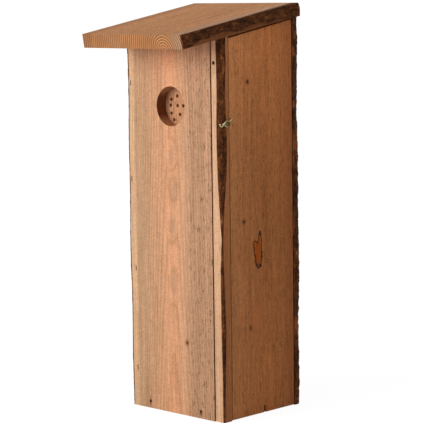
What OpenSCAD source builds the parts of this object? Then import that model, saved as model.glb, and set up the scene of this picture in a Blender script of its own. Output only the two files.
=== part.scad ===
// Tall nest box of sawn boards with natural bark edges.
// The left side, front, back and floor are nailed together under a sloping roof board.
// A front corner strip carries the side door, which hangs on two pivot nails near its top
// and swings out at the bottom, and a wire turn hook on a screw, which holds it shut.
// Origin: middle of the overall footprint, on the ground. +Z up, front face towards -Y.

/* [Body] */
// Width over the left side and the side door
body_w = 164.4; // [140:0.2:210]
// Depth from the front face to the back face
body_d = 149; // [120:1:190]
// Height of the front face, up to the underside of the roof
front_h = 476; // [380:1:580]
// Thickness of the front, left side, back and floor boards
board_t = 16; // [12:0.5:20]
// Height of the floor board's underside above the ground
floor_lift = 1; // [0:0.5:10]

/* [Corner strip] */
// Width of the corner strip, seen from the front
strip_w = 15; // [12:0.5:20]
// Distance that the strip's face lies behind the front face
strip_set = 1.6; // [0:0.1:3]
// Gap between the front panel and the strip
strip_gap = 0.4; // [0.2:0.1:1]

/* [Roof] */
// Thickness of the roof board
roof_t = 17.4; // [14:0.2:22]
// Length of the roof board along its slope
roof_len = 203; // [180:1:260]
// Slope of the roof in degrees, falling to the front
roof_slope = 10; // [4:0.2:16]
// Distance that the roof's top edge reaches past the front face
roof_front = 66.6; // [30:0.2:90]
// Distance that the roof reaches past the left side
roof_left = 8; // [0:0.5:25]
// Distance that the roof's sawn top edge reaches past the side door
roof_right = 0.6; // [0:0.2:20]
// Widest reach of the bark past the roof's sawn edge
roof_bark = 12; // [6:0.5:16]

/* [Entrance] */
// Diameter of the entrance hole
entrance_d = 50; // [32:1:60]
// Depth of the entrance hole's centre below the top of the front face
entrance_drop = 85; // [70:1:150]
// Distance of the entrance hole from the middle of the front panel
entrance_shift = 5; // [-10:0.5:10]
// Thickness of the softwood blank behind the entrance
blank_t = 8; // [5:0.5:12]
// Width that the blank laps over the wood around the hole
blank_lap = 12; // [8:0.5:18]
// Diameter of the small starter holes in the blank
peck_d = 4.6; // [3:0.2:6]

/* [Side door] */
// Thickness of the side door
door_t = 14.6; // [11:0.2:18]
// Gap between the door and its neighbours at the front and back
door_gap = 1.4; // [1.2:0.1:3]
// Gap between the door and the roof
door_gap_top = 3; // [2:0.2:8]
// Gap between the door and the ground
door_gap_bottom = 1; // [0.5:0.5:6]
// Clear space between the door's inner face and the boards behind it
door_seat = 0.8; // [0.4:0.1:2]
// Distance of the pivot nails below the roof, measured at the front
pivot_drop = 30; // [24:1:45]
// Distance of the pivot nails behind the door's outer face
pivot_inset = 11.2; // [9:0.2:12]
// Diameter of the pivot nails
pivot_d = 2.8; // [2.4:0.2:3.6]
// Radial running clearance of the pivot nails in the door
pivot_play = 0.06; // [0.02:0.01:0.1]
// Length of the pivot nails inside the door
pivot_reach = 18; // [12:1:26]
// Width of the slot in the door's bottom edge
slot_w = 3; // [2:0.5:6]
// Height of the slot in the door's bottom edge
slot_h = 9; // [5:0.5:14]
// Distance of the slot behind the door's front edge
slot_y = 58.8; // [20:0.2:80]

/* [Turn hook] */
// Depth of the turn hook's screw below the top of the front face
hook_drop = 104; // [80:1:200]
// Diameter of the hook's wire
wire_d = 1.8; // [1.4:0.1:2.4]
// Inside diameter of the hook's eye
eye_d = 5; // [4:0.2:6]
// Distance from the screw to the end of the finger that laps the door
finger_len = 10.6; // [10:0.2:13]
// Rise of the finger in degrees
finger_rise = 31; // [15:1:40]
// Inside radius of the thumb curl
curl_r = 2; // [1.5:0.1:3]
// Clear space between the hook and the wood
hook_lift = 0.5; // [0.3:0.1:1]
// Radial running clearance of the eye on the screw
eye_play = 0.05; // [0.02:0.01:0.1]
// Distance of the screw in front of the strip's back face
hook_inset = 4.6; // [4:0.2:7]

/* [Nails] */
// Diameter of the nails
nail_d = 2.4; // [1.8:0.2:3]
// Length of the nails
nail_len = 40; // [32:1:50]
// Diameter of the brads and of the staples' wire
brad_d = 1.4; // [1.2:0.1:2]
// Length of the brads and staples
brad_len = 32; // [26:1:38]
// Width of the staples over their legs
staple_w = 7; // [5:0.5:10]
// Radial clearance of nails, brads and screws in their holes
nail_play = 0.03; // [0.01:0.01:0.05]
// Depth that the nail heads are driven below the surface
nail_sunk = 0.4; // [0:0.1:1]

/* [Bark] */
// Thickness of the bark on the front panel's left edge
front_bark_t = 1.4; // [1:0.1:2]
// Thickness of the bark on the corner strip
strip_bark_t = 0.7; // [0.5:0.1:2]
// Thickness of the bark on the back board's edges
back_bark_t = 1.8; // [1:0.1:3]

/* [Back mounting] */
// Diameter of the two screw holes in the back
mount_d = 6; // [4:0.5:8]
// Height of the lower screw hole
mount_z = 60; // [40:1:100]
// Distance between the two screw holes
mount_pitch = 240; // [160:1:300]

/* [Hidden] */
$fn = 48;
eps = 0.01;
left_x = (roof_left - body_w - roof_right - roof_bark) / 2;
right_x = left_x + body_w;
front_y = (roof_front - body_d) / 2;
back_y = front_y + body_d;
inner_front_y = front_y + board_t;
inner_back_y = back_y - board_t;
inner_left_x = left_x + board_t;
front_w = body_w - strip_w - strip_gap;
strip_x = right_x - strip_w;
strip_y = front_y + strip_set;
strip_back_y = inner_front_y - strip_gap;
door_x = right_x - door_t;
door_y0 = strip_back_y + door_gap;
door_y1 = inner_back_y - door_gap;
floor_right_x = min(door_x - door_seat, left_x + front_w);
entrance_x = left_x + front_w / 2 + entrance_shift;
entrance_z = front_h - entrance_drop;
pivot_x = right_x - pivot_inset;
pivot_z = under(strip_y) - pivot_drop;
nail_z = floor_lift + board_t / 2;
hook_y = strip_back_y - hook_inset;
hook_z = front_h - hook_drop;
eye_r = (eye_d + wire_d) / 2;
hook_x = right_x + hook_lift + wire_d / 2;
curl_mid = curl_r + wire_d / 2;
roof_ahead = (roof_front - roof_t * sin(roof_slope)) / cos(roof_slope);
front_pivot_len = door_y0 + pivot_reach - strip_y - nail_sunk;
rear_pivot_depth = board_t * 0.42;
rear_pivot_len = inner_back_y + rear_pivot_depth - door_y1 + pivot_reach;
screw_d = 3;
screw_len = 13;
head_ratio = 1.7;
head_h = 1.2;
wane_steps = 28;
shares = [for (i = [0:wane_steps]) i / wane_steps];
// Share of the height, then width of the strip's pale face and depth of its bark, in mm
strip_face = [[0, 14], [0.08, 13.7], [0.15, 13.4], [0.23, 12.5], [0.3, 12.7], [0.38, 12.7],
    [0.46, 14.7], [0.54, 11.5], [0.61, 9.3], [0.69, 8.3], [0.77, 8.7], [0.81, 9.4], [0.89, 8.9],
    [1, 8]];
strip_side = [[0, 0.8], [0.08, 1.6], [0.15, 2.8], [0.23, 3.9], [0.3, 3], [0.38, 1.6], [0.46, 0.6],
    [0.54, 3.8], [0.61, 7.9], [0.69, 9.6], [0.77, 8.2], [0.81, 7], [0.89, 8.8], [1, 8.2]];
// Starter holes: sideways and upward distance from the entrance's centre
peck_holes = [[-4, 12], [-14.5, 7.5], [-16, 0], [-3.6, 0], [6.5, 0], [-14.5, -10], [0.5, -11],
    [-10, -18], [11, 9], [15, -7], [4, 18], [9, -17]];

larch = "#c08a5c";
larch_side = "#9a6f4a";
larch_pale = "#d9b48a";
bark = "#2e211b";
steel = "#6d6a66";
zinc = "#d8c67c";

// Height of the roof's underside at a given depth
function under(y) = front_h + (y - front_y) * tan(roof_slope);
// Slow natural waviness between -1 and 1 along a share u of the height
function wave(u, start) = (sin(start + u * 500) + sin(start * 2.3 + u * 1310)) / 2;
// Width of the wane and its bark on the front panel's left edge
function front_cut(u) = 2.6 + wave(u, 40);
// Width of the wane and its bark on the back board's edges: the right edge is the rounder one
function back_cut(u, side) = side > 0 ? 9 + 2.5 * wave(u, 70) : 3.2 + 1.2 * wave(u, 200);
// Reach of the roof's wood past its sawn top edge, at its underside, at a share u of its length
function roof_wood(u) = roof_bark * (0.12 + 0.45 * u + 0.05 * sin(u * 900));
// Reach of the roof's bark past its sawn top edge, widest at the back
function roof_reach(u) = roof_bark * (0.25 + 0.75 * u * u);
// Ends of the strip's wane in plan: on its pale face and on its side
function strip_wane(u) = [
    [strip_x + lookup(u, strip_face) * strip_w / 15, strip_y],
    [right_x, strip_y + lookup(u, strip_side) * (strip_back_y - strip_y) / 14]];
// Ends of the front panel's wane in plan: on its left edge and on its face
function front_wane(u) = [[left_x, front_y + 5.5], [left_x + front_cut(u), front_y]];
// Ends of the back board's wane in plan, with its outside to the right of them
function back_wane(u, side) = side > 0
    ? [[right_x, inner_back_y + 1], [right_x - back_cut(u, side), back_y]]
    : [[left_x + back_cut(u, side), back_y], [left_x, inner_back_y + 1]];
// Region to the right of the line from one point to another, starting an inset to its left
function outside(line, inset) = let (
    way = (line[1] - line[0]) / norm(line[1] - line[0]),
    right = [way.y, -way.x],
    a = line[0] - 4 * way - inset * right,
    b = line[1] + 4 * way - inset * right
) [a, a + 16 * right, b + 16 * right, b];

// Solid through a stack of rings that all have the same number of points
module loft(stack) {
    n = len(stack[0]);
    m = len(stack);
    polyhedron(
        points = [for (r = stack) each r],
        faces = concat(
            [[for (i = [0:n - 1]) i]],
            [[for (i = [n - 1:-1:0]) (m - 1) * n + i]],
            [for (j = [0:m - 2], i = [0:n - 1])
                [j * n + i, (j + 1) * n + i, (j + 1) * n + (i + 1) % n]],
            [for (j = [0:m - 2], i = [0:n - 1])
                [j * n + i, (j + 1) * n + (i + 1) % n, j * n + (i + 1) % n]]
        ),
        convexity = 6
    );
}

// Upright loft of outlines in plan, one for each share of a height, past both ends of it
module upright(outlines) {
    top = under(back_y);
    loft([for (i = [0:wane_steps]) [for (p = outlines[i]) [p.x, p.y, -1 + shares[i] * (top + 2)]]]);
}

// Board on edge with its top cut to the roof's slope
module upright_board(x, width, y0, y1, z0, top_gap) {
    translate([x, 0, 0])
    rotate([90, 0, 90])
    linear_extrude(width)
    polygon([[y0, z0], [y1, z0], [y1, under(y1) - top_gap], [y0, under(y0) - top_gap]]);
}

// Turns what points along +Z to point along another axis
module along(direction) {
    turn = direction == "+x" ? [0, 90, 0]
        : direction == "-x" ? [0, -90, 0]
        : direction == "+y" ? [-90, 0, 0]
        : direction == "-y" ? [90, 0, 0]
        : [180, 0, 0];
    rotate(turn) children();
}

// Roof's own frame: underside at z = 0, y along the slope from the front face
module in_roof_plane() {
    translate([0, front_y, front_h]) rotate([roof_slope, 0, 0]) children();
}

// Nail with its head's top at the origin, its shank pointing along +Z
module nail(d, length) {
    cylinder(d = d * head_ratio, h = head_h);
    translate([0, 0, head_h - eps]) cylinder(d = d, h = length - head_h - d + 2 * eps);
    translate([0, 0, length - d]) cylinder(d1 = d, d2 = 0.3, h = d);
}

// Hole for that nail, open to the surface that the nail is driven below
module nail_hole(d, length) {
    translate([0, 0, -nail_sunk - 1])
    cylinder(d = d * head_ratio + 2 * nail_play, h = head_h + nail_sunk + 1 + nail_play);
    cylinder(d = d + 2 * nail_play, h = length + 0.5);
}

// Staple with its crown upright at the origin and its legs pointing along +Z
module staple(play) {
    leg = (staple_w - brad_d) / 2;
    size = brad_d + 2 * play;
    top = play > 0 ? nail_sunk + 1 : 0;
    translate([-size / 2, -staple_w / 2 - play, -top])
    cube([size, staple_w + 2 * play, brad_d + top + play]);
    for (side = [-1, 1])
        translate([0, side * leg, 0]) cylinder(d = size, h = brad_len + play);
}

module at_front_staples() {
    for (place = [[0.72, 0.106], [0.72, 0.379], [0.42, 0.621], [0.5, 0.878]])
        translate([left_x + board_t * place.x, front_y + nail_sunk, front_h * place.y])
        along("+y") children();
}

module at_front_floor_nails() {
    for (share = [0.23, 0.84])
        translate([left_x + front_w * share, front_y + nail_sunk, nail_z]) along("+y") children();
}

module at_strip_brads() {
    for (share = [0.11, 0.5, 0.86])
        translate([right_x - 2.5 - nail_sunk, strip_y + 8, front_h * share]) along("-x") children();
}

module at_blank_brads() {
    reach = entrance_d / 2 + blank_lap / 2;
    for (side = [-1, 1], level = [-1, 1])
        translate([entrance_x + side * reach, inner_front_y + blank_t - nail_sunk,
            entrance_z + level * reach * 0.8])
        along("-y") children();
}

module at_left_floor_nails() {
    for (share = [0.35, 0.65])
        translate([left_x + nail_sunk, inner_front_y + (inner_back_y - inner_front_y) * share, nail_z])
        along("+x") children();
}

module at_back_side_nails() {
    for (share = [0.12, 0.38, 0.64, 0.9])
        translate([left_x + board_t * 0.62, back_y - nail_sunk, front_h * share])
        along("-y") children();
}

module at_back_floor_nails() {
    for (share = [0.25, 0.5, 0.75])
        translate([left_x + body_w * share, back_y - nail_sunk, nail_z]) along("-y") children();
}

// Two brads into the left side and two into the front panel, square to the roof board
module at_roof_brads() {
    side_x = left_x + board_t / 2;
    front_mid = board_t / 2 / cos(roof_slope);
    back_mid = (body_d - board_t / 2) / cos(roof_slope);
    for (p = [[side_x, front_mid + 28], [side_x, back_mid - 32], [left_x + front_w * 0.4, front_mid],
            [left_x + front_w * 0.85, front_mid]])
        in_roof_plane() translate([p.x, p.y, roof_t - nail_sunk]) along("-z") children();
}

module at_front_pivot() {
    translate([pivot_x, strip_y + nail_sunk, pivot_z]) along("+y") children();
}

module at_rear_pivot() {
    translate([pivot_x, inner_back_y + rear_pivot_depth, pivot_z]) along("-y") children();
}

// Way in for the rear pivot nail's head, through the back board's wane
module rear_pivot_pocket() {
    at_rear_pivot() translate([0, 0, -board_t])
    cylinder(d = pivot_d * head_ratio + 1, h = board_t + head_h + nail_play);
}

module at_hook_screw() {
    translate([right_x, hook_y, hook_z]) along("+x") children();
}

module hook_screw_hole() {
    at_hook_screw() translate([0, 0, -screw_len - 0.5])
    cylinder(d = screw_d + 2 * nail_play, h = screw_len + 1);
}

// What the front panel's left wane takes from its sawn board
module front_wane_cut() {
    upright([for (u = shares) outside(front_wane(u), front_bark_t)]);
}

module front_panel() {
    color(larch)
    difference() {
        upright_board(left_x, front_w, front_y, inner_front_y, 0, 0);
        front_wane_cut();
        translate([entrance_x, front_y - 1, entrance_z]) along("+y")
        cylinder(d = entrance_d, h = board_t + 2, $fn = 96);
        at_front_staples() staple(nail_play);
        at_front_floor_nails() nail_hole(nail_d, nail_len);
        at_strip_brads() nail_hole(brad_d, brad_len);
        at_blank_brads() nail_hole(brad_d, board_t);
        at_roof_brads() nail_hole(brad_d, nail_len);
    }
}

module front_bark() {
    color(bark)
    intersection() {
        upright_board(left_x, board_t, front_y, inner_front_y, 0, 0);
        front_wane_cut();
        upright([for (u = shares) concat(front_wane(u), [[left_x + board_t, front_y],
            [left_x + board_t, inner_front_y], [left_x, inner_front_y]])]);
    }
}

module left_side_panel() {
    color(larch_side)
    difference() {
        upright_board(left_x, board_t, inner_front_y, inner_back_y, 0, 0);
        at_front_staples() staple(nail_play);
        at_left_floor_nails() nail_hole(nail_d, nail_len);
        at_back_side_nails() nail_hole(nail_d, nail_len);
        at_roof_brads() nail_hole(brad_d, nail_len);
    }
}

// What one waney edge takes from the sawn back board: side is 1 at the right and -1 at the left
module back_wane_cut(side) {
    upright([for (u = shares) outside(back_wane(u, side), back_bark_t)]);
}

module back_panel() {
    color(larch_side)
    difference() {
        translate([left_x, inner_back_y, 0]) cube([body_w, board_t, under(inner_back_y)]);
        back_wane_cut(1);
        back_wane_cut(-1);
        at_back_side_nails() nail_hole(nail_d, nail_len);
        at_back_floor_nails() nail_hole(nail_d, nail_len);
        at_rear_pivot() cylinder(d = pivot_d + 2 * nail_play, h = board_t);
        rear_pivot_pocket();
        for (level = [0, 1])
            translate([left_x + body_w / 2, inner_back_y - 1, mount_z + level * mount_pitch])
            along("+y") cylinder(d = mount_d, h = board_t + 2);
    }
}

// Bark of one waney edge, bulging a little past the straight line between its ends
module back_bark(side) {
    color(bark)
    difference() {
        intersection() {
            translate([left_x - 4, inner_back_y, 0]) cube([body_w + 8, board_t, under(inner_back_y)]);
            back_wane_cut(side);
            upright([for (u = shares) let (
                w = back_wane(u, side),
                bulge = (w[0] + w[1]) / 2 + [side * 3.2, 2.6]
            ) side > 0
                ? [[0, inner_back_y], [right_x, inner_back_y], w[0], bulge, w[1], [0, back_y]]
                : [[0, back_y], w[0], bulge, w[1], [left_x, inner_back_y], [0, inner_back_y]]]);
        }
        rear_pivot_pocket();
    }
}

module back_bark_right() {
    back_bark(1);
}

module back_bark_left() {
    back_bark(-1);
}

module floor_board() {
    color(larch_side)
    difference() {
        translate([inner_left_x, inner_front_y, floor_lift])
        cube([floor_right_x - inner_left_x, inner_back_y - inner_front_y, board_t]);
        at_front_floor_nails() nail_hole(nail_d, nail_len);
        at_left_floor_nails() nail_hole(nail_d, nail_len);
        at_back_floor_nails() nail_hole(nail_d, nail_len);
    }
}

// Sawn roof board with the wood of its waney right edge
module roof_wood_solid() {
    x = right_x + roof_right;
    in_roof_plane() {
        translate([left_x - roof_left, -roof_ahead, 0])
        cube([roof_left + body_w + roof_right, roof_len, roof_t]);
        loft([for (u = shares) let (y = -roof_ahead + u * roof_len)
            [[x - 1, y, roof_t], [x, y, roof_t], [x + roof_wood(u), y, 0], [x - 1, y, 0]]]);
    }
}

module roof_board() {
    color(larch)
    difference() {
        roof_wood_solid();
        at_roof_brads() nail_hole(brad_d, nail_len);
    }
}

// Bark on the upper part of the roof's right edge; the wood below it stays bare
module roof_bark_strip() {
    x = right_x + roof_right;
    color(bark)
    difference() {
        in_roof_plane()
        loft([for (u = shares) let (
            y = -roof_ahead + u * roof_len,
            low = roof_t * (0.3 - 0.2 * u)
        ) [[x - 1, y, roof_t], [x + 0.7 * roof_reach(u), y, roof_t * 0.97],
            [x + roof_reach(u), y, roof_t * 0.5], [x + 0.9 * roof_reach(u), y, low],
            [x - 1, y, low]]]);
        roof_wood_solid();
        in_roof_plane() translate([x - 3, -roof_ahead - 1, -1]) cube([3, roof_len + 2, roof_t + 2]);
    }
}

// What the corner strip's wane takes from its sawn square section
module strip_wane_cut() {
    upright([for (u = shares) outside(strip_wane(u), strip_bark_t)]);
}

module corner_strip() {
    color(larch)
    difference() {
        upright_board(strip_x, strip_w, strip_y, strip_back_y, 0, 0);
        strip_wane_cut();
        at_strip_brads() nail_hole(brad_d, brad_len);
        at_front_pivot() nail_hole(pivot_d, front_pivot_len);
        hook_screw_hole();
    }
}

module corner_bark() {
    color(bark)
    difference() {
        intersection() {
            upright_board(strip_x, strip_w, strip_y, strip_back_y, 0, 0);
            strip_wane_cut();
            upright([for (u = shares) let (
                w = strip_wane(u),
                bulge = (w[0] + w[1]) / 2 + [0.6, -0.6]
            ) [[strip_x, strip_y], w[0], bulge, w[1], [right_x, strip_back_y],
                [strip_x, strip_back_y]]]);
        }
        at_strip_brads() nail_hole(brad_d, brad_len);
        at_front_pivot() nail_hole(pivot_d, front_pivot_len);
        hook_screw_hole();
    }
}

module entrance_blank() {
    size = entrance_d + 2 * blank_lap;
    color(larch_pale)
    difference() {
        translate([entrance_x - size / 2, inner_front_y, entrance_z - size / 2])
        cube([size, blank_t, size]);
        for (p = peck_holes)
            translate([entrance_x + p.x * entrance_d / 50, inner_front_y - 1,
                entrance_z + p.y * entrance_d / 50])
            along("+y") cylinder(d = peck_d, h = blank_t + 2);
        at_blank_brads() nail_hole(brad_d, board_t);
    }
}

module side_door() {
    color(larch_side)
    difference() {
        upright_board(door_x, door_t, door_y0, door_y1, door_gap_bottom, door_gap_top);
        translate([door_x - 1, door_y0 + slot_y - slot_w / 2, 0])
        cube([door_t + 2, slot_w, door_gap_bottom + slot_h]);
        for (end = [[door_y0, "+y"], [door_y1, "-y"]])
            translate([pivot_x, end[0], pivot_z]) along(end[1]) translate([0, 0, -1])
            cylinder(d = pivot_d + 2 * pivot_play, h = pivot_reach + 2);
    }
}

module front_pivot_nail() {
    color(steel) at_front_pivot() nail(pivot_d, front_pivot_len);
}

module rear_pivot_nail() {
    color(steel) at_rear_pivot() nail(pivot_d, rear_pivot_len);
}

// Round-headed screw: shank in the strip, smooth shoulder inside the eye, recess in its head
module hook_screw() {
    shoulder_h = wire_d + 2 * hook_lift;
    dome_r = 6;
    color(zinc)
    at_hook_screw()
    difference() {
        union() {
            translate([0, 0, -screw_len]) cylinder(d = screw_d, h = screw_len + eps);
            cylinder(d = eye_d - 2 * eye_play, h = shoulder_h + eps);
            translate([0, 0, shoulder_h]) intersection() {
                cylinder(d = eye_d + wire_d, h = 2.2);
                translate([0, 0, 2.2 - dome_r]) sphere(r = dome_r);
            }
        }
        for (turn = [20, 110])
            rotate(turn) translate([-1.5, -0.35, shoulder_h + 1]) cube([3, 0.7, 2]);
    }
}

// Wire along part of a circle, in the plane of the hook
module wire_arc(r, from, sweep) {
    rotate(from) rotate_extrude(angle = sweep) translate([r, 0]) circle(d = wire_d, $fn = 24);
}

// Straight wire from the origin, in the plane of the hook
module wire_bar(direction, length) {
    rotate([0, 90, direction]) cylinder(d = wire_d, h = length, $fn = 24);
}

// Wire bent into a closed eye, a straight finger that laps the door and a curl for the thumb
module turn_hook() {
    finger = finger_len - wire_d / 2;
    color(zinc)
    translate([hook_x, hook_y, hook_z])
    rotate([90, 0, 90]) {
        wire_arc(eye_r, 0, 360);
        rotate(finger_rise) translate([eye_r, 0, 0]) wire_bar(0, finger - eye_r);
        rotate(finger_rise) translate([finger, 0, 0]) sphere(d = wire_d, $fn = 24);
        translate([-eye_r - curl_mid, 0, 0]) wire_bar(0, curl_mid);
        translate([-eye_r - 2 * curl_mid, 0, 0]) wire_arc(curl_mid, 180, 180);
        translate([-eye_r - 3 * curl_mid, 0, 0]) sphere(d = wire_d, $fn = 24);
    }
}

module front_staples() {
    color(steel) at_front_staples() staple(0);
}

module front_floor_nails() {
    color(steel) at_front_floor_nails() nail(nail_d, nail_len);
}

module strip_brads() {
    color(steel) at_strip_brads() nail(brad_d, brad_len);
}

module blank_brads() {
    color(steel) at_blank_brads() nail(brad_d, board_t);
}

module left_floor_nails() {
    color(steel) at_left_floor_nails() nail(nail_d, nail_len);
}

module back_side_nails() {
    color(steel) at_back_side_nails() nail(nail_d, nail_len);
}

module back_floor_nails() {
    color(steel) at_back_floor_nails() nail(nail_d, nail_len);
}

module roof_brads() {
    color(steel) at_roof_brads() nail(brad_d, nail_len);
}

front_panel();
front_bark();
left_side_panel();
back_panel();
back_bark_right();
back_bark_left();
floor_board();
roof_board();
roof_bark_strip();
corner_strip();
corner_bark();
entrance_blank();
side_door();
front_pivot_nail();
rear_pivot_nail();
hook_screw();
turn_hook();
front_staples();
front_floor_nails();
strip_brads();
blank_brads();
left_floor_nails();
back_side_nails();
back_floor_nails();
roof_brads();
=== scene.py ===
# %% [markdown]
# # A tall nest box of sawn larch, from a CAD frame to a finished picture
# The joiner's work is already done: every board, nail and joint of this box stands in the packed
# frame, at its real size. This lesson only gives the pieces their skin. It keeps the CAD pieces whose
# shape is right, and lays a more detailed surface over those that are too plain.

# %% Load the frame
import math

import bpy
import numpy as np
from mathutils import Euler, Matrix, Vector


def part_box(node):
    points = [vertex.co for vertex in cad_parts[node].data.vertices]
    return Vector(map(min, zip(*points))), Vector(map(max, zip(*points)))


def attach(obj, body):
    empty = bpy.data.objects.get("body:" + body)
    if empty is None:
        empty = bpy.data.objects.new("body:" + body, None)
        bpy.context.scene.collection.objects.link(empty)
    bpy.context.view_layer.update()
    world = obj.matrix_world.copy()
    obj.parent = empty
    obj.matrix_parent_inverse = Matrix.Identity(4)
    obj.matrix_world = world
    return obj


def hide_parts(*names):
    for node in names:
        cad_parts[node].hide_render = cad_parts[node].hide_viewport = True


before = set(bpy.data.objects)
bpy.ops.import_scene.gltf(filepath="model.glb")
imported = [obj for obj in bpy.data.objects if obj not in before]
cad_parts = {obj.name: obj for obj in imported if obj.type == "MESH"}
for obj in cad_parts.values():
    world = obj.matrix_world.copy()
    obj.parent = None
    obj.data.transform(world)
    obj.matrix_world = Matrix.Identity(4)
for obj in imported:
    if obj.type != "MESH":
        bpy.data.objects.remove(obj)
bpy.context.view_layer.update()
MM = 0.001

# %% [markdown]
# ## Camera
# The box is looked at from its front right corner, a little from above, with a long lens, so its
# upright edges stay nearly parallel. The camera is placed by an aim point on the box and two angles,
# so it can be walked round without losing the box; a typed position would have to be found anew.

# %% Place the camera
AZIMUTH, ELEVATION, ROLL = math.radians(44.2), math.radians(7.05), math.radians(-0.79)
DISTANCE = 2.3
LENS = 153.0
AIM = Vector((0.0020, 0.0223, 0.2531))

back = Vector((
    math.sin(AZIMUTH) * math.cos(ELEVATION),
    -math.cos(AZIMUTH) * math.cos(ELEVATION),
    math.sin(ELEVATION),
))
camera = bpy.data.objects.new("camera", bpy.data.cameras.new("camera"))
bpy.context.scene.collection.objects.link(camera)
camera.data.lens = LENS
camera.data.clip_end = 20.0
camera.location = AIM + back * DISTANCE
camera.rotation_euler = Euler((math.pi / 2 - ELEVATION, 0.0, AZIMUTH))
camera.rotation_euler = (camera.rotation_euler.to_matrix() @ Euler((0, 0, ROLL)).to_matrix()).to_euler()
bpy.context.scene.camera = camera
print("camera at", [round(v, 3) for v in camera.location])

# %% [markdown]
# ## One function for nodes
# Every finish below is a small graph of shader nodes. One function adds a node, sets what it says and
# links what it is given. Colours are written as sRGB hex, as a paint chart has them, and turned to the
# linear values that the shader works in.

# %% Nodes and colours
def linear(hex_colour):
    """Linear RGBA of an sRGB hex colour."""
    c = np.array([int(hex_colour[i:i + 2], 16) for i in (1, 3, 5)]) / 255
    rgb = np.where(c <= 0.04045, c / 12.92, ((c + 0.055) / 1.055) ** 2.4)
    return (*map(float, rgb), 1.0)


def add(tree, kind, inputs=None, stops=None, **settings):
    """Adds a node: its settings, the stops of its ramp, then its inputs, as values or links."""
    made = tree.nodes.new("ShaderNode" + kind)
    for key, value in settings.items():
        setattr(made, key, value)
    for key, value in (inputs or {}).items():
        if isinstance(value, bpy.types.NodeSocket):
            tree.links.new(value, made.inputs[key])
        else:
            made.inputs[key].default_value = value
    if stops:
        points = made.color_ramp.elements
        while len(points) < len(stops):
            points.new(0.5)
        for point, (place, colour) in zip(points, stops):
            point.position = place
            point.color = linear(colour)
    return made


def finish(name, **sockets):
    """A new material: its tree and its shader, whose own sockets hold the constant values."""
    material = bpy.data.materials.new(name)
    material.use_nodes = True
    tree = material.node_tree
    shader = tree.nodes["Principled BSDF"]
    for key, value in sockets.items():
        shader.inputs[key.replace("_", " ")].default_value = value
    return material, tree, shader


print("node helper ready")

# %% [markdown]
# ## Light
# Outdoors a box like this has one bright side and one in the shade. A dim, even room fills every
# side, and one broad lamp stands in front, a little to the left and a little above, so the front is
# bright and the door side stays in its own shade. The camera alone sees the room as plain white.

# %% Make the room and its lamp
FILL = 0.42
scene = bpy.context.scene
scene.view_settings.view_transform = "Standard"
room = bpy.data.worlds.new("white room")
room.use_nodes = True
tree = room.node_tree
seen = add(tree, "LightPath").outputs["Is Camera Ray"]
level = add(tree, "MapRange", {0: seen, 3: FILL, 4: 1.02}).outputs[0]
tree.links.new(level, tree.nodes["Background"].inputs["Strength"])
tree.nodes["Background"].inputs["Color"].default_value = (1.0, 1.0, 1.0, 1.0)
scene.world = room

lamp = bpy.data.objects.new("front_lamp", bpy.data.lights.new("front_lamp", "SUN"))
scene.collection.objects.link(lamp)
lamp.data.energy = 2.15
lamp.data.angle = math.radians(35)
TOWARDS_LAMP = Vector((-0.30, -0.93, 0.24))
lamp.rotation_euler = TOWARDS_LAMP.to_track_quat("Z", "Y").to_euler()

# The floor is matt and pale. To the camera it glows a little, so it fades into the white room.
floor_mesh = bpy.data.meshes.new("studio_floor")
floor_mesh.from_pydata([(-6, -6, 0), (6, -6, 0), (6, 6, 0), (-6, 6, 0)], [], [(0, 1, 2, 3)])
studio_floor = bpy.data.objects.new("studio_floor", floor_mesh)
scene.collection.objects.link(studio_floor)
paint = bpy.data.materials.new("matt white floor paint")
paint.use_nodes = True
tree = paint.node_tree
tree.nodes["Principled BSDF"].inputs["Base Color"].default_value = (0.82, 0.82, 0.82, 1.0)
tree.nodes["Principled BSDF"].inputs["Roughness"].default_value = 0.9
glow = add(tree, "Emission", {"Color": (1.0, 1.0, 1.0, 1.0), "Strength": 1.16}).outputs[0]
seen = add(tree, "LightPath").outputs["Is Camera Ray"]
share = add(tree, "Math", {0: seen, 1: 0.8}, operation="MULTIPLY").outputs[0]
matt = tree.nodes["Principled BSDF"].outputs[0]
blended = add(tree, "MixShader", {0: share, 1: matt, 2: glow}).outputs[0]
tree.links.new(blended, tree.nodes["Material Output"].inputs["Surface"])
floor_mesh.materials.append(paint)
print("lamp energy", lamp.data.energy)

# %% [markdown]
# ## The space that the grain runs in
# A board is a slice of a tree, so its figure is not painted on: the annual rings are cylinders round
# the pith, and the saw cuts them where it likes. The material keeps that idea. It measures from the
# pith line, so the same rings run true from the face round the edge to the end grain. A picture of
# wood wrapped round each board would be quicker, but its rings would never meet at the corners.

# %% Turn and bend the grain
SLOPE = math.radians(10)
# For each way the grain may run: the turn that brings it upright, and its direction.
GRAIN = {
    "up": ((0.0, 0.0, 0.0), (0.0, 0.0, 1.0)),
    "slope": ((math.pi / 2 - SLOPE, 0.0, 0.0), (0.0, math.cos(SLOPE), math.sin(SLOPE))),
    "across": ((0.0, -math.pi / 2, 0.0), (1.0, 0.0, 0.0)),
}
# The trunk bends slowly: about once in 60 mm across it, and in some 500 mm along it.
BENDS_PER_METRE = (16.0, 16.0, 1.9)


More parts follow.
